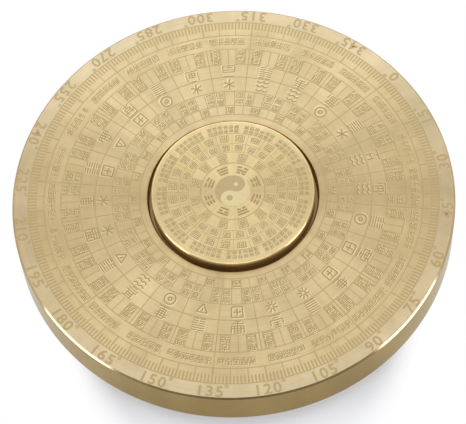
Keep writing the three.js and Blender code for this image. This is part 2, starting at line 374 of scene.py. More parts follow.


# Turned metal: fine rings round Z that change slowly along each ring and broad soft clouds, times painted
# highlight: fans of painted light that spread from the middle
def turnedGrainGroup(shape):
    group, source = newGroup("turnedGrain", {
        "Metal": (0.5, 0.4, 0.2, 1), "Worn Metal": (0.6, 0.5, 0.3, 1), "Rings Per Metre": 6000.0,
        "Ring Contrast": 0.1, "Cloud Contrast": 0.3, "Fan Contrast": 0.3, "Roughness": 0.3,
        "Roughness Swing": 0.1})
    place = addPlace(group)
    axes = addNode(group, "ShaderNodeSeparateXYZ", {0: place}).outputs
    squares = addMath(group, "ADD", addMath(group, "MULTIPLY", axes[0], axes[0]),
                      addMath(group, "MULTIPLY", axes[1], axes[1]))
    radius = addMath(group, "MAXIMUM", addMath(group, "SQRT", squares), 1e-5)
    outX, outY = addMath(group, "DIVIDE", axes[0], radius), addMath(group, "DIVIDE", axes[1], radius)
    across = addMath(group, "MULTIPLY", addMath(group, "ADD", radius, axes[2]), source["Rings Per Metre"])
    ringPlace = addNode(group, "ShaderNodeCombineXYZ", {
        0: across, 1: addMath(group, "MULTIPLY", outX, shape["ringTurn"]),
        2: addMath(group, "MULTIPLY", outY, shape["ringTurn"])}).outputs[0]
    fanPlace = addNode(group, "ShaderNodeCombineXYZ", {
        0: addMath(group, "MULTIPLY", outX, shape["fanTurn"]),
        1: addMath(group, "MULTIPLY", outY, shape["fanTurn"]),
        2: addMath(group, "MULTIPLY", radius, shape["fanRadius"])}).outputs[0]
    rings = addNoise(group, ringPlace, 1.0, shape["ringDetail"], shape["ringRoughness"])
    clouds = addNoise(group, place, shape["cloudScale"], shape["cloudDetail"], shape["cloudRoughness"])
    fans = addNoise(group, fanPlace, 1.0, shape["fanDetail"], shape["fanRoughness"])
    # Painted highlight: fans of brighter and darker colour that stand in for streaks of light on the turned
    # face
    paintedFanHighlight = addMath(group, "ADD", addSwing(group, fans, source["Fan Contrast"]), 1.0)
    wear = addMath(group, "ADD", addMath(group, "ADD", addSwing(group, rings, source["Ring Contrast"]),
                                         addSwing(group, clouds, source["Cloud Contrast"])), 0.5, clamp=True)
    worn = addMix(group, wear, source["Metal"], source["Worn Metal"])
    return endGroup(group, source, addMix(group, 1.0, worn, paintedFanHighlight, "MULTIPLY"), rings)


# Grain: clouds and fine specks of two colours, for etched marks, sheet steel and the pad
def speckGroup(shape):
    group, source = newGroup("speck", {
        "Color": (0.5, 0.4, 0.2, 1), "Speck Color": (0.4, 0.3, 0.15, 1), "Scale": 900.0, "Roughness": 0.6,
        "Roughness Swing": 0.15})
    specks = addNoise(group, addPlace(group), source["Scale"], shape["speckDetail"], shape["speckRoughness"])
    return endGroup(group, source, addMix(group, specks, source["Color"], source["Speck Color"]), specks)


turnedGrain, speck = turnedGrainGroup(grainShape), speckGroup(grainShape)


def newMaterial(name):
    material = bpy.data.materials.new(name)
    material.use_nodes = True
    material.node_tree.nodes.clear()
    return material, material.node_tree


# A material whose colour, roughness and bump come from a group at a look's values. addMore(tree, grain, look)
# gives the shader other inputs, or these ones anew.
def grainMaterial(name, group, look, addMore=None):
    material, tree = newMaterial(name)
    placed = addNode(tree, "ShaderNodeGroup", node_tree=group)
    for socket in placed.inputs:
        socket.default_value = look[socket.name]
    grain = placed.outputs
    bump = addNode(tree, "ShaderNodeBump", {"Height": grain["Height"], "Strength": look["bump"],
                                            "Distance": look["bumpDepth"] * mm})
    shader = addNode(tree, "ShaderNodeBsdfPrincipled", {
        "Base Color": grain["Color"], "Roughness": grain["Roughness"], "Metallic": look["metallic"],
        "Normal": bump.outputs[0], **(addMore(tree, grain, look) if addMore else {})})
    addNode(tree, "ShaderNodeOutputMaterial", {0: shader.outputs[0]})
    return material


# The direction across the turning marks: at right angles to the surface's normal and to the way round Z
def turnedTangent(tree):
    roundZ = addVectorMath(tree, "CROSS_PRODUCT", (0, 0, 1), addPlace(tree))[0]
    across = addVectorMath(tree, "CROSS_PRODUCT", addPlace(tree, "Normal"), roundZ)[0]
    return addNode(tree, "ShaderNodeVectorTransform", {0: addVectorMath(tree, "NORMALIZE", across)[0]},
                   vector_type="VECTOR", convert_from="OBJECT", convert_to="WORLD").outputs[0]


# Tints the face in rings, for the metal's own tint and for painted shade and highlight: each band is a start
# and end radius in mm with the colour that multiplies it
def bandedColor(tree, color, bands):
    level = addVectorMath(tree, "MULTIPLY", addPlace(tree), (1, 1, 0))[0]
    radius = addVectorMath(tree, "LENGTH", level)["Value"]
    for start, end, tint in bands:
        inside = addMath(tree, "MULTIPLY", addMath(tree, "GREATER_THAN", radius, start * mm),
                         addMath(tree, "LESS_THAN", radius, end * mm))
        color = addMix(tree, inside, color, addMix(tree, 1.0, color, (*tint, 1.0), "MULTIPLY"))
    return color


# What a turned finish has where it says nothing else. wallRoughness and edgeRoughness are shares of the
# roughness on upright walls and on slanting edges, and edgeTint colours the metal's mirroring at low angles.
turnedLook = {
    "Rings Per Metre": 5000.0, "Ring Contrast": 0.9, "Cloud Contrast": 1.3, "Fan Contrast": 0.1,
    "Roughness Swing": 0.08, "bump": 0.2, "bumpDepth": 0.002, "metallic": 1.0, "anisotropic": 0.75,
    "wallRoughness": 1.0, "edgeRoughness": 1.0, "edgeTint": (1.0, 1.0, 1.0, 1.0), "bands": [],
    "walls": (0.2, 0.6), "faces": (0.85, 0.97),  # how level: from wall to edge, and from edge to face
}


def turnedInputs(tree, grain, look):
    color = bandedColor(tree, grain["Color"], look["bands"]) if look["bands"] else grain["Color"]
    upright = addNode(tree, "ShaderNodeSeparateXYZ", {0: addPlace(tree, "Normal")}).outputs[2]
    level = addMath(tree, "ABSOLUTE", upright)
    sideShare = addRange(tree, level, *look["walls"], look["wallRoughness"], look["edgeRoughness"])
    roughShare = addRange(tree, level, *look["faces"], sideShare, 1.0)
    return {"Base Color": color, "Roughness": addMath(tree, "MULTIPLY", grain["Roughness"], roughShare),
            "Specular Tint": look["edgeTint"], "Anisotropic": look["anisotropic"],
            "Tangent": turnedTangent(tree)}


def turnedMaterial(name, metal, worn, changes):
    look = {**turnedLook, "Metal": srgb(*metal), "Worn Metal": srgb(*worn), **changes}
    return grainMaterial(name, turnedGrain, look, turnedInputs)


speckLook = {"Scale": 1500.0, "Roughness": 0.45, "Roughness Swing": 0.2, "bump": 0.2, "bumpDepth": 0.004,
             "metallic": 1.0}


def speckMaterial(name, color, specks, changes):
    look = {**speckLook, "Color": srgb(*color), "Speck Color": srgb(*specks), **changes}
    return grainMaterial(name, speck, look)


# Bands of the face: painted shade in the well's mouth round the cap, the number band's own paler bluer tint,
# light painted shade on the rim's chamfer, and painted shade that darkens and browns the outer wall
brassFace = turnedMaterial("turnedBrassFace", (175, 152, 106), (203, 181, 138), {
    "Fan Contrast": 0.5, "Roughness": 0.34, "bump": 0.25, "wallRoughness": 0.5, "edgeRoughness": 0.5,
    "edgeTint": (0.9, 0.85, 0.73, 1.0),
    "bands": [(18.7, 19.05, (0.5, 0.42, 0.3)), (45.4, 48.6, (1.01, 1.04, 1.17)),
              (48.6, 48.95, (0.92, 0.9, 0.92)), (48.95, 60.0, (0.6, 0.54, 0.37))]})
# Bands of the cap: a painted highlight along its rounded top edge, and a painted warm reflection on its side
# wall
brassCap = turnedMaterial("turnedBrassCap", (187, 164, 112), (212, 190, 143), {
    "Fan Contrast": 0.4, "Roughness": 0.32, "bump": 0.25, "edgeRoughness": 0.5,
    "edgeTint": (0.62, 0.5, 0.33, 1.0),
    "bands": [(17.62, 17.92, (1.2, 1.2, 1.2)), (18.08, 18.4, (1.12, 0.98, 0.8))]})
brassBase = turnedMaterial("turnedBrassBase", (172, 146, 96), (186, 161, 110), {
    "Rings Per Metre": 3000.0, "Ring Contrast": 1.0, "Cloud Contrast": 0.8, "Fan Contrast": 0.2,
    "Roughness": 0.42, "Roughness Swing": 0.1, "bump": 0.3, "bumpDepth": 0.004, "anisotropic": 0.6,
    "wallRoughness": 0.8, "edgeRoughness": 0.8, "edgeTint": (0.75, 0.68, 0.5, 1.0)})
# A brighter brass for the painted highlight beside each stroke
paintedEdgeHighlight = turnedMaterial("paintedEdgeHighlight", (206, 185, 139), (215, 196, 153), {
    "Ring Contrast": 0.6, "Cloud Contrast": 0.6, "Roughness": 0.34, "Roughness Swing": 0.1})
brassPolished = turnedMaterial("polishedBrass", (196, 176, 130), (205, 185, 141), {
    "Ring Contrast": 0.6, "Cloud Contrast": 0.9, "Roughness": 0.36, "anisotropic": 0.1})
groundSteel = turnedMaterial("groundSteel", (190, 193, 197), (206, 209, 212), {
    "Rings Per Metre": 9000.0, "Cloud Contrast": 0.3, "Fan Contrast": 0.05, "Roughness": 0.2,
    "bumpDepth": 0.001, "anisotropic": 0.5})
etched = speckMaterial("etchedMark", (170, 148, 103), (162, 140, 95), {"metallic": 0.8})
etchedGround = speckMaterial("etchedGround", (182, 159, 112), (173, 150, 103), {
    "Scale": 1300.0, "Roughness": 0.4, "bump": 0.3, "metallic": 0.9})
etchedDeep = speckMaterial("etchedDeep", (158, 136, 91), (148, 126, 81), {"metallic": 0.8})
yinDark = speckMaterial("etchedDark", (176, 157, 116), (167, 147, 105), {
    "Scale": 900.0, "Roughness": 0.55, "Roughness Swing": 0.15})
ballSteel = speckMaterial("polishedSteel", (206, 208, 211), (196, 198, 202), {
    "Scale": 700.0, "Roughness": 0.1, "Roughness Swing": 0.05, "bump": 0.05, "bumpDepth": 0.001})
sheetSteel = speckMaterial("pressedSteel", (166, 168, 170), (150, 152, 155), {
    "Scale": 1100.0, "Roughness": 0.36, "bump": 0.25})
screwSteel = speckMaterial("blackedSteel", (74, 76, 80), (96, 98, 101), {
    "Scale": 1600.0, "Roughness": 0.4, "Roughness Swing": 0.25, "bump": 0.3, "bumpDepth": 0.006})
padRubber = speckMaterial("padRubber", (34, 34, 35), (52, 52, 53), {
    "Scale": 1400.0, "Roughness": 0.85, "bump": 0.5, "bumpDepth": 0.03, "metallic": 0.0})
print("finishes made")


# outer dial

dialLow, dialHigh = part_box("outer_dial")
dialRadius, dialTop, dialBottom = dialHigh.x / mm, dialHigh.z / mm, dialLow.z / mm
dialShape = {
    "rimChamfer": 0.42, "rimRounding": 0.14, "wellRadius": 18.77, "wellRounding": 0.5, "wellDepth": 2.4,
    "boreRadius": 11.05, "lipRadius": 9.8, "lipThickness": 0.8, "innerRounding": 0.1, "sides": 512,
}


def addToDial(name, mesh, finish, *replaced):
    makePiece(name, mesh, finish, "turntable", "dial_brass", *replaced)


def dialMesh(rimChamfer, rimRounding, wellRadius, wellRounding, wellDepth, boreRadius, lipRadius,
             lipThickness, innerRounding, sides):
    r, face = dialRadius, dialTop - markShape["faceDrop"]
    floor, lipTop = dialTop - wellDepth, dialBottom + lipThickness
    return turnedSurface(roundedProfile([
        (lipRadius, dialBottom, 0), (r - rimChamfer, dialBottom, rimRounding),
        (r, dialBottom + rimChamfer, rimRounding), (r, face - rimChamfer, rimRounding),
        (r - rimChamfer, face, rimRounding), (wellRadius, face, wellRounding),
        (wellRadius, floor, innerRounding), (boreRadius, floor, innerRounding), (boreRadius, lipTop, 0),
        (lipRadius, lipTop, 0)]), sides)


addToDial("outerDial", dialMesh(**dialShape), brassFace, "outer_dial")
print("outer dial made")


# marks on the dial: radii are shares of the dial's radius, places and steps degrees, and sizes and pens mm

dialMarks = {
    "turn": 54.5,  # where the dial's 0 stands, clockwise from +Y
    "ringLines": [0.9278, 0.856, 0.779, 0.695, 0.6255, 0.5475, 0.4715, 0.4235], "ringWidth": 0.2,
    "seed": 11, "sector": 15, "groundMargin": 0.12,
}
ticks = {
    "degree": 0.34, "fine": 0.19, "bold": 0.3,  # pens
    "rows": [  # step, places of the first one, inner and outer radius, pen, level
        (1, [0], 0.889, 0.927, "degree", 1), (5, [0], 0.856, 0.889, "fine", 1),
        (15, [0], 0.856, 0.889, "bold", 2), (45, [0], 0.779, 0.856, "fine", 1),
        (15, [0], 0.4235, 0.779, "fine", 1), (15, [7.5], 0.695, 0.779, "fine", 1),
        (15, [5, 10], 0.4715, 0.5475, "fine", 1), (15, [5, 10], 0.4235, 0.4715, "fine", 1),
        (15, [1.25, 4.6, 10.3, 13.7], 0.695, 0.779, "fine", 1)],
}
smallRing = {"piece": "dialSmallFigures", "radius": 0.8225, "size": (1.35, 1.55), "pen": 0.18, "bars": 5,
             "first": 1.2, "step": 2.35, "count": (5, 7), "spread": (0.25, 0.75), "lattices": 0.7}
stackedRing = {"piece": "dialStackedFigures", "places": [2.9, 12.0], "radii": [0.757, 0.718],
               "size": (1.7, 1.6), "pen": 0.2, "bars": 5}
largeRing = {"piece": "dialLargeFigures", "place": 7.5, "radius": 0.66025, "size": (2.7, 2.75), "pen": 0.255,
             "bars": 6, "linesEvery": 3}
simpleRing = {"piece": "dialSimpleFigures", "place": 7.5, "radius": 0.5865, "size": (2.7, 2.8), "pen": 0.3}
pairRing = {"piece": "dialInnerFigures", "places": [2.5, 12.5], "radii": [0.5275, 0.4915],
            "size": (1.4, 1.3), "pen": 0.18, "bars": 5}
innerRing = {"piece": "dialInnerFigures", "places": [7.5], "radii": [0.4475], "size": (1.5, 1.5), "pen": 0.2,
             "bars": 5}
markTop = dialTop - markShape["topDrop"]


def tickStrokes(shape):
    rows = []
    for step, places, inner, outer, pen, level in shape["rows"]:
        for first in places:
            angles = markAngle(first + step * np.arange(360 // step), dialMarks)
            rows.append(radialStrokes(angles, inner, outer, shape[pen], level))
    return np.vstack(rows)


def dialFigures(marks):
    rng = np.random.default_rng(marks["seed"])
    made = {}
    simpleFigures = [
        starFigure(6, pi / 2),
        np.vstack([ringFigure(3, pi / 2), [[0, 0.3, 0, -0.25, 2]]]),
        np.vstack([ringFigure(12, 0, 0.95), ringFigure(4, 0, 0.35)]),
        waveFigure(3),
        np.vstack([ringFigure(4, pi / 4, 1.25), starFigure(4) * [0.6, 0.6, 0.6, 0.6, 1]]),
        starFigure(8, pi / 8, 0.25),
    ]

    def place(ring, figure, degrees, radius):
        placed = placedFigure(figure, ring["size"], ring["pen"], radius, markAngle(degrees, marks))
        made.setdefault(ring["piece"], []).append(placed)

    def placeLattices(ring, start):
        for at in ring["places"]:
            for radius in ring["radii"]:
                place(ring, latticeFigure(rng, ring["bars"]), start + at, radius)

    for sector in range(360 // marks["sector"]):
        start = marks["sector"] * sector
        count = int(rng.integers(*smallRing["count"]))
        spare = marks["sector"] - smallRing["step"] * count
        first = start + spare * rng.uniform(*smallRing["spread"]) + smallRing["first"]
        for k in range(count):
            isLattice = rng.random() < smallRing["lattices"]
            figure = latticeFigure(rng, smallRing["bars"]) if isLattice else starFigure(4)
            place(smallRing, figure, first + smallRing["step"] * k, smallRing["radius"])
        placeLattices(stackedRing, start)
        bars = largeRing["bars"]
        lines = rng.integers(0, 2, bars)
        figure = latticeFigure(rng, bars) if sector % largeRing["linesEvery"] else lineFigure(lines)
        place(largeRing, figure, start + largeRing["place"], largeRing["radius"])
        figure = simpleFigures[rng.integers(len(simpleFigures))]
        place(simpleRing, figure, start + simpleRing["place"], simpleRing["radius"])
        placeLattices(pairRing, start)
        placeLattices(innerRing, start)
    return made


addToDial("dialRingLines", ringLines(dialMarks["ringLines"], dialMarks["ringWidth"], markTop), etched)
addToDial("dialTicks", strokeBlocks(tickStrokes(ticks), markTop), etched)
for name, figures in dialFigures(dialMarks).items():
    # The Edges pieces hold the painted highlight strokes
    layers = ("", "Edges") if name in ("dialLargeFigures", "dialSimpleFigures") else ("", "Edges", "Ground")
    addFigures(addToDial, [name + layer for layer in layers], figures, markTop, dialMarks["groundMargin"])
print("dial marks made")


# numbers on the dial

dialNumbers = {"step": 15, "height": 2.5, "widthShare": 1.08, "letterSpace": 1.15, "bolder": 0.018,
               "radiusShare": 0.9647, "depth": 0.02, "signHeight": 0.8, "signGap": 0.35, "curveSteps": 3,
               "extrude": 0.01, "weld": 1e-5}


# A word as a thin solid mesh, in units of its own height and thickness
def solidWord(text, numbers):
    curve = bpy.data.curves.new("numberShape", "FONT")
    curve.body, curve.extrude, curve.offset = text, numbers["extrude"], numbers["bolder"]
    curve.space_character, curve.resolution_u = numbers["letterSpace"], numbers["curveSteps"]
    holder = bpy.data.objects.new("numberShape", curve)
    mesh = bpy.data.meshes.new_from_object(holder)
    shape = bmesh.new()
    shape.from_mesh(mesh)
    bmesh.ops.remove_doubles(shape, verts=shape.verts, dist=numbers["weld"])
    bmesh.ops.recalc_face_normals(shape, faces=shape.faces)
    shape.to_mesh(mesh)
    shape.free()
    points = np.empty(len(mesh.vertices) * 3)
    mesh.vertices.foreach_get("co", points)
    points = points.reshape(-1, 3)
    faces = [list(polygon.vertices) for polygon in mesh.polygons]
    bpy.data.objects.remove(holder)
    bpy.data.curves.remove(curve)
    bpy.data.meshes.remove(mesh)
    low, high = points.min(0), points.max(0)
    return (points - low) / [high[1] - low[1], high[1] - low[1], high[2] - low[2]], faces


def numberMeshes(numbers):
    height, signHeight, depth = numbers["height"], numbers["signHeight"], numbers["depth"]
    sign, meshes = solidWord("°", numbers), []
    for degrees in range(0, 360, numbers["step"]):
        word = solidWord(str(degrees), numbers)
        width = word[0][:, 0].max() * height * numbers["widthShare"]
        for (corners, faces), scale, left, base in (
                (word, height, -width / 2, -height / 2),
                (sign, signHeight, width / 2 + numbers["signGap"], height / 2 - signHeight / 2)):
            x, y = corners[:, 0] * scale * numbers["widthShare"] + left, corners[:, 1] * scale + base
            flat = bentRound(x, y, numbers["radiusShare"] * dialRadius, markAngle(degrees, dialMarks))
            meshes.append((np.hstack([flat, markTop - depth + corners[:, 2:3] * depth]), faces))
    return joined(meshes)


addToDial("dialNumbers", numberMeshes(dialNumbers), etched)
print("numbers made")


# centre cap

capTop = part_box("centre_cap")[1].z / mm
capShape = {
    "radius": 18.12, "underside": 13.3, "shoulderRadius": 5.816, "seat": 12.6, "stemRadius": 3.9,
    "stemBottom": 5.9, "holeRadius": 2.0, "holeTop": 12.2, "edgeRounding": 0.5, "sides": 384,
}


def addToCap(name, mesh, finish, *replaced):
    makePiece(name, mesh, finish, "base", "cap_brass", *replaced)


def capMesh(radius, underside, shoulderRadius, seat, stemRadius, stemBottom, holeRadius, holeTop,
            edgeRounding, sides):
    face = capTop - markShape["faceDrop"]
    return turnedSurface(roundedProfile([
        (0, holeTop, 0), (holeRadius, holeTop, 0), (holeRadius, stemBottom, 0.1),
        (stemRadius, stemBottom, 0.2), (stemRadius, seat, 0), (shoulderRadius, seat, 0.1),
        (shoulderRadius, underside, 0), (radius, underside, 0.15), (radius, face, edgeRounding),
        (0, face, 0)], closed=False, steps=12), sides)


addToCap("centreCap", capMesh(**capShape), brassCap, "centre_cap")

capMarks = {
    "turn": -19.5,  # where the first trigram stands, clockwise from +Y
    "cells": 24,
    "ringLines": [0.3005, 0.246, 0.202], "ringWidth": 0.13, "boldRing": 0.145, "boldWidth": 0.22,
    "dividerPen": 0.11, "seed": 5, "groundMargin": 0.08,
}
wordRing = {"sectors": 12, "words": 6, "first": 4.1, "step": 4.4, "radii": (0.3345, 0.3125),
            "size": (0.85, 0.75), "pen": 0.136, "bars": 4}
cellRings = [{"radius": 0.27325, "size": (1.9, 1.7), "pen": 0.16, "bars": 5},
             {"radius": 0.224, "size": (1.6, 1.35), "pen": 0.16, "bars": 5}]
framedRing = {"count": 12, "first": 7.5, "radius": 0.1735, "size": (1.35, 1.35), "pen": 0.16, "bars": 4}
borderRing = {"radius": 0.1735, "size": (1.95, 2.1), "pen": 0.128}
trigrams = {
    "lines": [(1, 1, 1), (0, 1, 0), (0, 0, 1), (1, 0, 0), (0, 1, 1), (1, 0, 1), (0, 0, 0), (1, 1, 0)],
    "width": 0.047, "height": 0.028, "pen": 0.0085, "radius": 0.1127,  # shares of the dial's radius
}
capMarkTop = capTop - markShape["topDrop"]


def capFigures(marks):
    rng = np.random.default_rng(marks["seed"])

    def placed(ring, figure, radius, degrees):
        return placedFigure(figure, ring["size"], ring["pen"], radius, markAngle(degrees, marks))

    def lattice(ring, radius, degrees):
        return placed(ring, latticeFigure(rng, ring["bars"]), radius, degrees)

    made = [lattice(wordRing, radius, start + wordRing["first"] + k * wordRing["step"])
            for start in evenPlaces(wordRing["sectors"])
            for k in range(wordRing["words"]) for radius in wordRing["radii"]]
    made += [lattice(ring, ring["radius"], at) for at in evenPlaces(marks["cells"]) for ring in cellRings]
    border = [[-1, -1, 1, -1, 2], [-1, 1, 1, 1, 2], [-1, -1, -1, 1, 0], [1, -1, 1, 1, 0]]
    for at in evenPlaces(framedRing["count"]) + framedRing["first"]:
        made.append(np.vstack([lattice(framedRing, framedRing["radius"], at),
                               placed(borderRing, border, borderRing["radius"], at)]))
    return made


# The trigram bars lie straight, with the inner line nearest the middle
def trigramStrokes(shape):
    size, pen = (shape["width"] * dialRadius, shape["height"] * dialRadius), shape["pen"] * dialRadius
    angles = markAngle(evenPlaces(len(shape["lines"])), capMarks)
    return np.vstack([placedFigure(lineFigure(lines[::-1]), size, pen, shape["radius"], angle)
                      for lines, angle in zip(shape["lines"], angles)])


# Radial lines between the cells, from each ring line to the next one
def dividerStrokes(marks):
    edges = markAngle(evenPlaces(marks["cells"]) + 180 / marks["cells"], marks)
    return np.vstack([radialStrokes(edges, inner, outer, marks["dividerPen"])
                      for outer, inner in zip(marks["ringLines"], marks["ringLines"][1:])])


# capFigureEdges holds the painted highlight strokes
addFigures(addToCap, ["capFigures", "capFigureEdges", "capFigureGround"], capFigures(capMarks), capMarkTop,
           capMarks["groundMargin"])
addToCap("capDividers", strokeBlocks(dividerStrokes(capMarks), capMarkTop), etched)
addToCap("capTrigrams", strokeBlocks(trigramStrokes(trigrams), capMarkTop), etchedDeep)
addToCap("capRingLines", ringLines(capMarks["ringLines"], capMarks["ringWidth"], capMarkTop), etched)
addToCap("capBoldRing", ringLines([capMarks["boldRing"]], capMarks["boldWidth"], capMarkTop), etched)


# yin-yang on the cap

yinYangShape = {
    "radiusShare": 0.079, "turn": 26, "depth": 0.02, "drop": 0.003, "rows": 96, "columns": 16,
    "tip": 0.012,  # the angle left off at each pointed end, in radians
    "dotAway": 0.475, "lightDot": 0.12, "darkDot": 0.18, "dotSides": 40, "outline": 0.11,
}


# Closes a flat grid of points into a thin block between two heights
def gridBlock(flat, low, high):
    rows, columns = flat.shape[:2]
    plane = flat.reshape(-1, 2)
    count = len(plane)
    points = np.vstack([np.column_stack([plane, np.full(count, height)]) for height in (low, high)])
    i = (np.arange(rows - 1)[:, None] * columns + np.arange(columns - 1)).ravel()
    top = np.stack([i, i + columns, i + columns + 1, i + 1], -1) + count
    bottom = np.stack([i, i + 1, i + columns + 1, i + columns], -1)
    edge = np.concatenate([np.arange(columns), np.arange(1, rows) * columns + columns - 1,
                           (rows - 1) * columns + np.arange(columns - 2, -1, -1),
                           np.arange(rows - 2, 0, -1) * columns])
    after = np.roll(edge, -1)
    wall = np.stack([edge, edge + count, after + count, after], -1)
    return points, np.vstack([top, bottom, wall]).tolist()


# The dark half reaches, at each height, from the whole circle's left side to the right side of the upper
# small circle or the left side of the lower one. The light half is the same shape turned half round.
def addYinYang(radiusShare, turn, depth, drop, rows, columns, tip, dotAway, lightDot, darkDot, dotSides,
               outline):
    radius, c, s = radiusShare * dialRadius, cos(radians(turn)), sin(radians(turn))
    y = radius * np.cos(np.linspace(tip, pi - tip, rows))
    left = -np.sqrt(radius ** 2 - y ** 2)
    small = np.sqrt(np.clip((radius / 2) ** 2 - (np.abs(y) - radius / 2) ** 2, 0, None))
    right = np.where(y > 0, small, -small)
    x, y = left[:, None] + (right - left)[:, None] * np.linspace(0, 1, columns), y[:, None]
    turned = np.stack([x * c + y * s, -x * s + y * c], -1)
    low, high = capMarkTop - depth, capMarkTop - drop
    addToCap("yinYangDark", gridBlock(turned, low, high), yinDark)
    addToCap("yinYangLight", gridBlock(-turned, low, high), brassPolished)
    for name, away, dot, finish in (
            ("yinYangLightDot", dotAway * radius, lightDot * radius, brassPolished),
            ("yinYangDarkDot", -dotAway * radius, darkDot * radius, yinDark)):
        profile = [(0, low), (dot, low), (dot, capMarkTop), (0, capMarkTop)]
        addToCap(name, turnedSurface(profile, dotSides, (away * s, away * c, 0)), finish)
    addToCap("yinYangOutline", ringLines([radiusShare], outline, capMarkTop), etched)


addYinYang(**yinYangShape)
print("cap made")


# base plate and pad

baseShape = {"radius": 30.0, "bottom": 0.6, "top": 3.8, "boss": 5.816, "bossTop": 5.6, "passRadius": 2.2,
             "sinkRadius": 4.3, "pocketRadius": 27.3, "pocketTop": 1.2, "chamfer": 0.8, "footChamfer": 0.3,
             "sides": 256}
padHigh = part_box("base_pad")[1]
padShape = {"radius": padHigh.x / mm, "thickness": padHigh.z / mm, "sides": 192}


def baseMesh(radius, bottom, top, boss, bossTop, passRadius, sinkRadius, pocketRadius, pocketTop, chamfer,
             footChamfer, sides):
    return turnedSurface(roundedProfile([
        (passRadius, pocketTop + sinkRadius - passRadius, 0.1), (sinkRadius, pocketTop, 0.1),
        (pocketRadius, pocketTop, 0), (pocketRadius, bottom, 0.1), (radius - footChamfer, bottom, 0.1),
        (radius, bottom + footChamfer, 0.1), (radius, top - chamfer, 0.2), (radius - chamfer, top, 0.2),
        (boss, top, 0.2), (boss, bossTop, 0.15), (passRadius, bossTop, 0.15)]), sides)


def padMesh(radius, thickness, sides):
    corners = [(0, 0, 0), (radius, 0, 0.2), (radius, thickness, 0.05), (0, thickness, 0)]
    return turnedSurface(roundedProfile(corners, closed=False), sides)


makePiece("basePlate", baseMesh(**baseShape), brassBase, "base", "base_brass", "base_plate")
makePiece("basePad", padMesh(**padShape), padRubber, "base", "rubber_pad", "base_pad")
print("base made")


# clamp screw

screwShape = {"bottom": 1.3, "headRadius": 3.8, "headEdge": 0.3, "radius": 1.9, "top": 11.2, "tip": 0.4,
              "socketAcross": 2.5, "socketDepth": 1.6, "pitch": 0.7, "threadDepth": 0.36, "threadStart": 5.0,
              "threadStep": 0.07, "threadLead": 0.02, "threadFlank": 2.5, "threadCrest": 1.25,
              "socketReach": 0.6, "nearby": 0.01, "sides": 96}


# The socket's wall follows a hexagon, and the thread's depth goes up and down once for each pitch and turn
def screwMesh(bottom, headRadius, headEdge, radius, top, tip, socketAcross, socketDepth, socketReach, pitch,
              threadDepth, threadStart, threadStep, threadLead, threadFlank, threadCrest, nearby, sides):
    flat, floor, cone = socketAcross / 2, bottom + socketDepth, bottom + headEdge

    def reshape(r, z, u):
        hexagon = np.cos(np.mod(u + pi / 6, pi / 3) - pi / 6)
        inSocket = (z < floor + nearby) & (r < socketAcross * socketReach)
        turns = np.mod(z / pitch - u / (2 * pi), 1)
        cut = threadDepth * np.clip(threadCrest - threadFlank * np.abs(turns - 0.5), 0, 1)
        fadeIn = np.clip((z - threadStart) / pitch, 0, 1)
        threaded = (z >= threadStart) & (r > radius - tip - nearby)
        return np.where(inSocket, r / hexagon, r - np.where(threaded, cut * fadeIn, 0))

    lower = roundedProfile([
        (0, floor, 0), (flat, floor, 0), (flat, bottom, 0), (headRadius, bottom, 0.1),
        (headRadius, cone, 0.08), (radius, cone + headRadius - radius, 0.3), (radius, threadStart, 0)],
        closed=False)
    heights = np.arange(threadStart + threadLead, top - tip, threadStep)
    thread = np.column_stack([np.full(len(heights), radius), heights])
    profile = np.vstack([lower, thread, [(radius, top - tip), (radius - tip, top), (0, top)]])
    return turnedSurface(profile, sides, reshape=reshape)


makePiece("clampScrew", screwMesh(**screwShape), screwSteel, "base", "screw_steel", "clamp_screw")
print("screw made")


# ball bearing

bearingLow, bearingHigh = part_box("bearing_outer_ring")
bearingMiddle = (bearingLow.z + bearingHigh.z) / 2 / mm
bearingShape = {
    "balls": 7, "ballRadius": 1.9845, "pitchRadius": 7.50086, "grooveRadius": 2.0845, "grooveDepth": 0.6,
    "sideThickness": 1.416, "halfWidth": 3.5, "chamfer": 0.3, "shieldLow": 2.8, "shieldHigh": 3.1,
    "seatDepth": 0.75, "mouthDepth": 0.5, "grooveSteps": 28, "ringSides": 256, "ballSides": 64,
}
shieldShape = {"sheet": 0.18, "innerGap": 0.25, "fitGap": 0.05, "hem": 0.2, "step": 0.35, "sides": 256}
cageShape = {"sheet": 0.35, "pocket": 2.1045, "runningGap": 0.35, "archSteps": 28, "webSteps": 8}
rivetShape = {"head": 0.6, "shank": 0.35, "headHeight": 0.3, "rounding": 0.22, "sides": 32}
# the radii of the two shoulders that the grooves are cut into
outerLand = bearingShape["pitchRadius"] + bearingShape["grooveRadius"] - bearingShape["grooveDepth"]
innerLand = bearingShape["pitchRadius"] - bearingShape["grooveRadius"] + bearingShape["grooveDepth"]


# A ring's section: the groove's arc, from below to above, between the given upper corners and their mirror
# images; side is 1 for the outer ring and -1 for the inner one
def ringProfile(shape, side, upperEnd):
    half = acos(1 - shape["grooveDepth"] / shape["grooveRadius"])
    angle = np.linspace(-half, half, shape["grooveSteps"] + 1)
    r = shape["pitchRadius"] + side * shape["grooveRadius"] * np.cos(angle)
    arc = np.column_stack([r, shape["grooveRadius"] * np.sin(angle), 0 * r])
    upper = np.array(upperEnd, float)
    return roundedProfile(np.vstack([(upper * [1, -1, 1])[::-1], arc, upper]))


def outerRingProfile(shape):
    side = shape["pitchRadius"] + shape["grooveRadius"] + shape["sideThickness"]
    seat, mouth, half = outerLand + shape["seatDepth"], outerLand + shape["mouthDepth"], shape["halfWidth"]
    return ringProfile(shape, 1, [
        (outerLand, shape["shieldLow"], 0.04), (seat, shape["shieldLow"], 0), (seat, shape["shieldHigh"], 0),
        (mouth, shape["shieldHigh"], 0.04), (mouth, half, 0.08), (side - shape["chamfer"], half, 0.12),
        (side, half - shape["chamfer"], 0.12)])


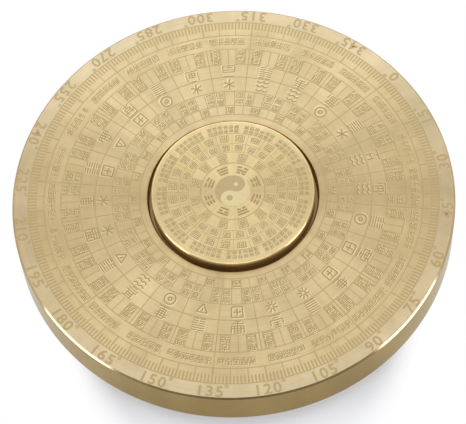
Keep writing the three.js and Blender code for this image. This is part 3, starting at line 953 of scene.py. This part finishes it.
def innerRingProfile(shape):
    bore = shape["pitchRadius"] - shape["grooveRadius"] - shape["sideThickness"]
    half = shape["halfWidth"]
    return ringProfile(shape, -1, [
        (innerLand, half, 0.1), (bore + shape["chamfer"], half, 0.12), (bore, half - shape["chamfer"], 0.12)])


# Shield: a pressed washer whose middle stands a step further out than its seat and its hem; side is 1 or -1
def shieldProfile(shape, shield, side):
    inner, outer = innerLand + shield["innerGap"], outerLand + shape["seatDepth"] - shield["fitGap"]
    step = shape["shieldHigh"] - shape["shieldLow"] - shield["sheet"]
    line = [(inner, 0), (inner + shield["hem"], 0), (inner + shield["hem"] + step, step),
            (outer - shield["step"] - step, step), (outer - shield["step"], 0), (outer, 0)]
    low = [(r, shape["shieldLow"] + h, 0.05) for r, h in line]
    high = [(r, z + shield["sheet"], 0.05) for r, z, _ in low[::-1]]
    return roundedProfile(low + high, steps=4, hold=0.01) * [1, side]


# Half of the ribbon cage. Round each ball the strip rises in an arch: its inside is a circle of the pocket's
# radius and its outside one a sheet further out. Between two arches it lies flat as a web. Each column of the
# strip has four corners: two radii, each below and above.
def cageHalf(shape, cage, side):
    inner, outer = innerLand + cage["runningGap"], outerLand - cage["runningGap"]
    radii = np.array([inner, outer, outer, inner])[:, None]
    arch = np.linspace(-1, 1, cage["archSteps"] + 1)
    insideTurn = arch * pi / 2
    outsideTurn = arch * acos(cage["sheet"] / (cage["pocket"] + cage["sheet"]))
    web = np.linspace(0, 1, cage["webSteps"] + 1)[1:-1]
    step = 2 * pi / shape["balls"]
    angles, heights = [], []
    for r, radius, turn, flat in ((radii[:2], cage["pocket"], insideTurn, 0.0),
                                  (radii[2:], cage["pocket"] + cage["sheet"], outsideTurn, cage["sheet"])):
        foot = np.arcsin(radius * sin(turn[-1]) / r)
        angles.append(np.hstack([np.arcsin(radius * np.sin(turn) / r), foot + (step - 2 * foot) * web]))
        rise = np.hstack([radius * np.cos(turn), np.full(len(web), flat)])
        heights.append(np.broadcast_to(rise, angles[-1].shape))
    angle, height = np.vstack(angles), np.vstack(heights)
    stations = np.arange(shape["balls"])[:, None, None] * step
    around = (stations + angle.T).reshape(-1, 4)
    tall = np.tile(height.T, (shape["balls"], 1)) * side + bearingMiddle
    points = np.stack([radii[:, 0] * np.cos(around), radii[:, 0] * np.sin(around), tall], -1)
    faces = gridFaces(*around.shape)
    return points.reshape(-1, 3), (faces if side < 0 else faces[:, ::-1]).tolist()


def rivetProfile(cage, rivet):
    high = cage["sheet"] + rivet["headHeight"]
    end = [(rivet["shank"], cage["sheet"], 0), (rivet["head"], cage["sheet"], 0.05),
           (rivet["head"], high, rivet["rounding"]), (0, high, 0)]
    return roundedProfile([(r, -z, rounding) for r, z, rounding in end[::-1]] + end, closed=False, hold=0.01)


def ballProfile(shape):
    turn = np.linspace(-pi / 2, pi / 2, shape["ballSides"] // 2 + 1)
    profile = shape["ballRadius"] * np.column_stack([np.cos(turn), np.sin(turn)])
    profile[[0, -1], 0] = 0
    return profile


# Where a ball is on the pitch circle; rivets stand half a step on
def stationPlace(shape, station):
    angle = 2 * pi * station / shape["balls"]
    return shape["pitchRadius"] * cos(angle), shape["pitchRadius"] * sin(angle), bearingMiddle


middle, ringSides = (0, 0, bearingMiddle), bearingShape["ringSides"]
makePiece("bearingOuterRing", turnedSurface(outerRingProfile(bearingShape), ringSides, middle), groundSteel,
          "turntable", "bearing_steel", "bearing_outer_ring")
makePiece("bearingInnerRing", turnedSurface(innerRingProfile(bearingShape), ringSides, middle), groundSteel,
          "base", "bearing_steel", "bearing_inner_ring")
for end, side in (("Upper", 1), ("Lower", -1)):
    washer = turnedSurface(shieldProfile(bearingShape, shieldShape, side), shieldShape["sides"], middle)
    makePiece("shield" + end, washer, sheetSteel, "turntable", "sheet_steel", "shield_" + end.lower())
for end, side in (("Upper", 1), ("Lower", -1)):
    makePiece("cage" + end, cageHalf(bearingShape, cageShape, side), sheetSteel, "cage", "sheet_steel",
              "cage_" + end.lower())
for k in range(bearingShape["balls"]):
    ball = turnedSurface(ballProfile(bearingShape), bearingShape["ballSides"], stationPlace(bearingShape, k))
    rivet = turnedSurface(rivetProfile(cageShape, rivetShape), rivetShape["sides"],
                          stationPlace(bearingShape, k + 0.5))
    makePiece(f"ball{k + 1}", ball, ballSteel, f"ball_{k + 1}", "bearing_steel", f"ball_{k + 1}")
    makePiece(f"cageRivet{k + 1}", rivet, sheetSteel, "cage", "sheet_steel", f"cage_rivet_{k + 1}")
print("bearing made")


# camera

view = {"distance": 471.5, "elevation": 61.2, "roll": 4.277, "lens": 164.73, "sensor": 36, "near": 0.01,
        "far": 20, "middleX": 233.1, "middleY": 194.85, "width": 466, "height": 424}
bpy.context.scene.camera = camera = addObject("camera", bpy.data.cameras.new("camera"))
rise = radians(view["elevation"])
back = Vector((0, -cos(rise), sin(rise)))
roll = Quaternion((0, 0, 1), radians(-view["roll"]))
camera.location = Vector((0, 0, dialTop * mm)) + back * view["distance"] * mm
camera.rotation_mode = "QUATERNION"
camera.rotation_quaternion = (-back).to_track_quat("-Z", "Y") @ roll
camera.data.lens, camera.data.sensor_width = view["lens"], view["sensor"]
camera.data.clip_start, camera.data.clip_end = view["near"], view["far"]
camera.data.shift_x = (view["width"] / 2 - view["middleX"]) / view["width"]
camera.data.shift_y = (view["middleY"] - view["height"] / 2) / view["width"]


# floor and room

floorShape = {
    "reach": 3, "drop": 0.0001, "matt": (0.97, 0.97, 0.97, 1),
    # The floor looks white but near the object, in an oval, where it is mostly matt and keeps its shadow
    "ovalScale": (1.5, 1, 1), "ovalShift": (0, 0.008, 0), "fade": (0.052, 0.063), "nearGlow": 0.2,
}


def seenByEye(tree):
    path = addNode(tree, "ShaderNodeLightPath").outputs
    either = addMath(tree, "MAXIMUM", path["Is Camera Ray"], path["Is Glossy Ray"])
    return addMath(tree, "MAXIMUM", either, path["Is Transmission Ray"])


def paleFloor(shape):
    material, tree = newMaterial("paleFloor")
    oval = addVectorMath(tree, "MULTIPLY_ADD", addPlace(tree), shape["ovalScale"], shape["ovalShift"])[0]
    away = addVectorMath(tree, "LENGTH", oval)["Value"]
    fade = addRange(tree, away, *shape["fade"], shape["nearGlow"], 1.0, "SMOOTHSTEP")
    matt = addNode(tree, "ShaderNodeBsdfDiffuse", {"Color": shape["matt"]})
    glow = addNode(tree, "ShaderNodeEmission", {"Color": (1, 1, 1, 1), "Strength": 1.0})
    share = addMath(tree, "MULTIPLY", seenByEye(tree), fade)
    mix = addNode(tree, "ShaderNodeMixShader", {0: share, 1: matt.outputs[0], 2: glow.outputs[0]})
    addNode(tree, "ShaderNodeOutputMaterial", {0: mix.outputs[0]})
    return material


floorMesh = bpy.data.meshes.new("floor")
floorMesh.from_pydata([(x * floorShape["reach"], y * floorShape["reach"], -floorShape["drop"])
                       for x, y in ((-1, -1), (1, -1), (1, 1), (-1, 1))], [], [(0, 1, 2, 3)])
floorMesh.materials.append(paleFloor(floorShape))
floor = addObject("floor", floorMesh)

# Matt surfaces get less of the room's light from the front. What is mirrored is a white room with a darker
# band in front, which draws the dark line along the dial's near rim.
roomShape = {"soft": (-0.55, -0.15), "leastSoft": 0.14, "bandFront": (-0.6, -0.35), "bandHeight": 0.43,
             "bandEdge": (0.09, 0.16), "bandDepth": 0.9}


def studioRoom(shape):
    world = bpy.data.worlds.new("studio")
    world.use_nodes = True
    tree = world.node_tree
    tree.nodes.clear()
    direction = addNode(tree, "ShaderNodeSeparateXYZ", {0: addPlace(tree, "Generated")}).outputs
    softLight = addRange(tree, direction[1], *shape["soft"], shape["leastSoft"], 1.0, "SMOOTHSTEP")
    front = addRange(tree, direction[1], *shape["bandFront"], 1.0, 0.0, "SMOOTHSTEP")
    fromBand = addMath(tree, "ABSOLUTE", addMath(tree, "SUBTRACT", direction[2], shape["bandHeight"]))
    nearBand = addRange(tree, fromBand, *shape["bandEdge"], 1.0, 0.0, "SMOOTHSTEP")
    band = addMath(tree, "MULTIPLY", addMath(tree, "MULTIPLY", front, nearBand), shape["bandDepth"])
    lit, seen = [addNode(tree, "ShaderNodeBackground", {"Color": (1, 1, 1, 1), "Strength": light}).outputs[0]
                 for light in (softLight, addMath(tree, "SUBTRACT", 1.0, band))]
    mix = addNode(tree, "ShaderNodeMixShader", {0: seenByEye(tree), 1: lit, 2: seen})
    addNode(tree, "ShaderNodeOutputWorld", {0: mix.outputs[0]})
    return world


bpy.context.scene.world = studioRoom(roomShape)


# softboxes

softboxes = {  # place, height of its aim, its two sizes in metres, brightness against white, tint
    "behind": ((0, 0.475, 0.458), 0.015, (0.6, 0.18), 2.35, (0.84, 0.98, 1.22)),
    "overhead": ((0, 0.03, 0.62), 0.015, (0.6, 0.16), 0.6, (0.84, 0.98, 1.22)),
    "leftHigh": ((-0.32, 0, 0.57), 0.015, (0.24, 0.2), 1.6, (0.98, 1, 1.03)),
    "rightHigh": ((0.32, 0, 0.57), 0.015, (0.24, 0.2), 1.6, (0.98, 1, 1.03)),
    "left": ((-0.5, -0.2, 0.16), 0.01, (0.3, 0.2), 4.0, (0.95, 1, 1.3)),
    "right": ((0.5, -0.2, 0.16), 0.01, (0.3, 0.2), 4.0, (0.95, 1, 1.3)),
    "front": ((0, -0.39, 0.5), 0.015, (0.6, 0.16), 1.5, (0.9, 1, 1.15)),
}
for name, (place, aim, size, white, tint) in softboxes.items():
    lamp = bpy.data.lights.new(name, "AREA")
    lamp.shape = "RECTANGLE"
    lamp.size, lamp.size_y = size
    lamp.energy = white * pi * lamp.size * lamp.size_y
    lamp.color = tint
    holder = addObject(name, lamp)
    holder.location = place
    holder.rotation_mode = "QUATERNION"
    holder.rotation_quaternion = (Vector((0, 0, aim)) - Vector(place)).to_track_quat("-Z", "Y")

bpy.context.scene.view_settings.view_transform = "Standard"
print("camera, floor and lights made")
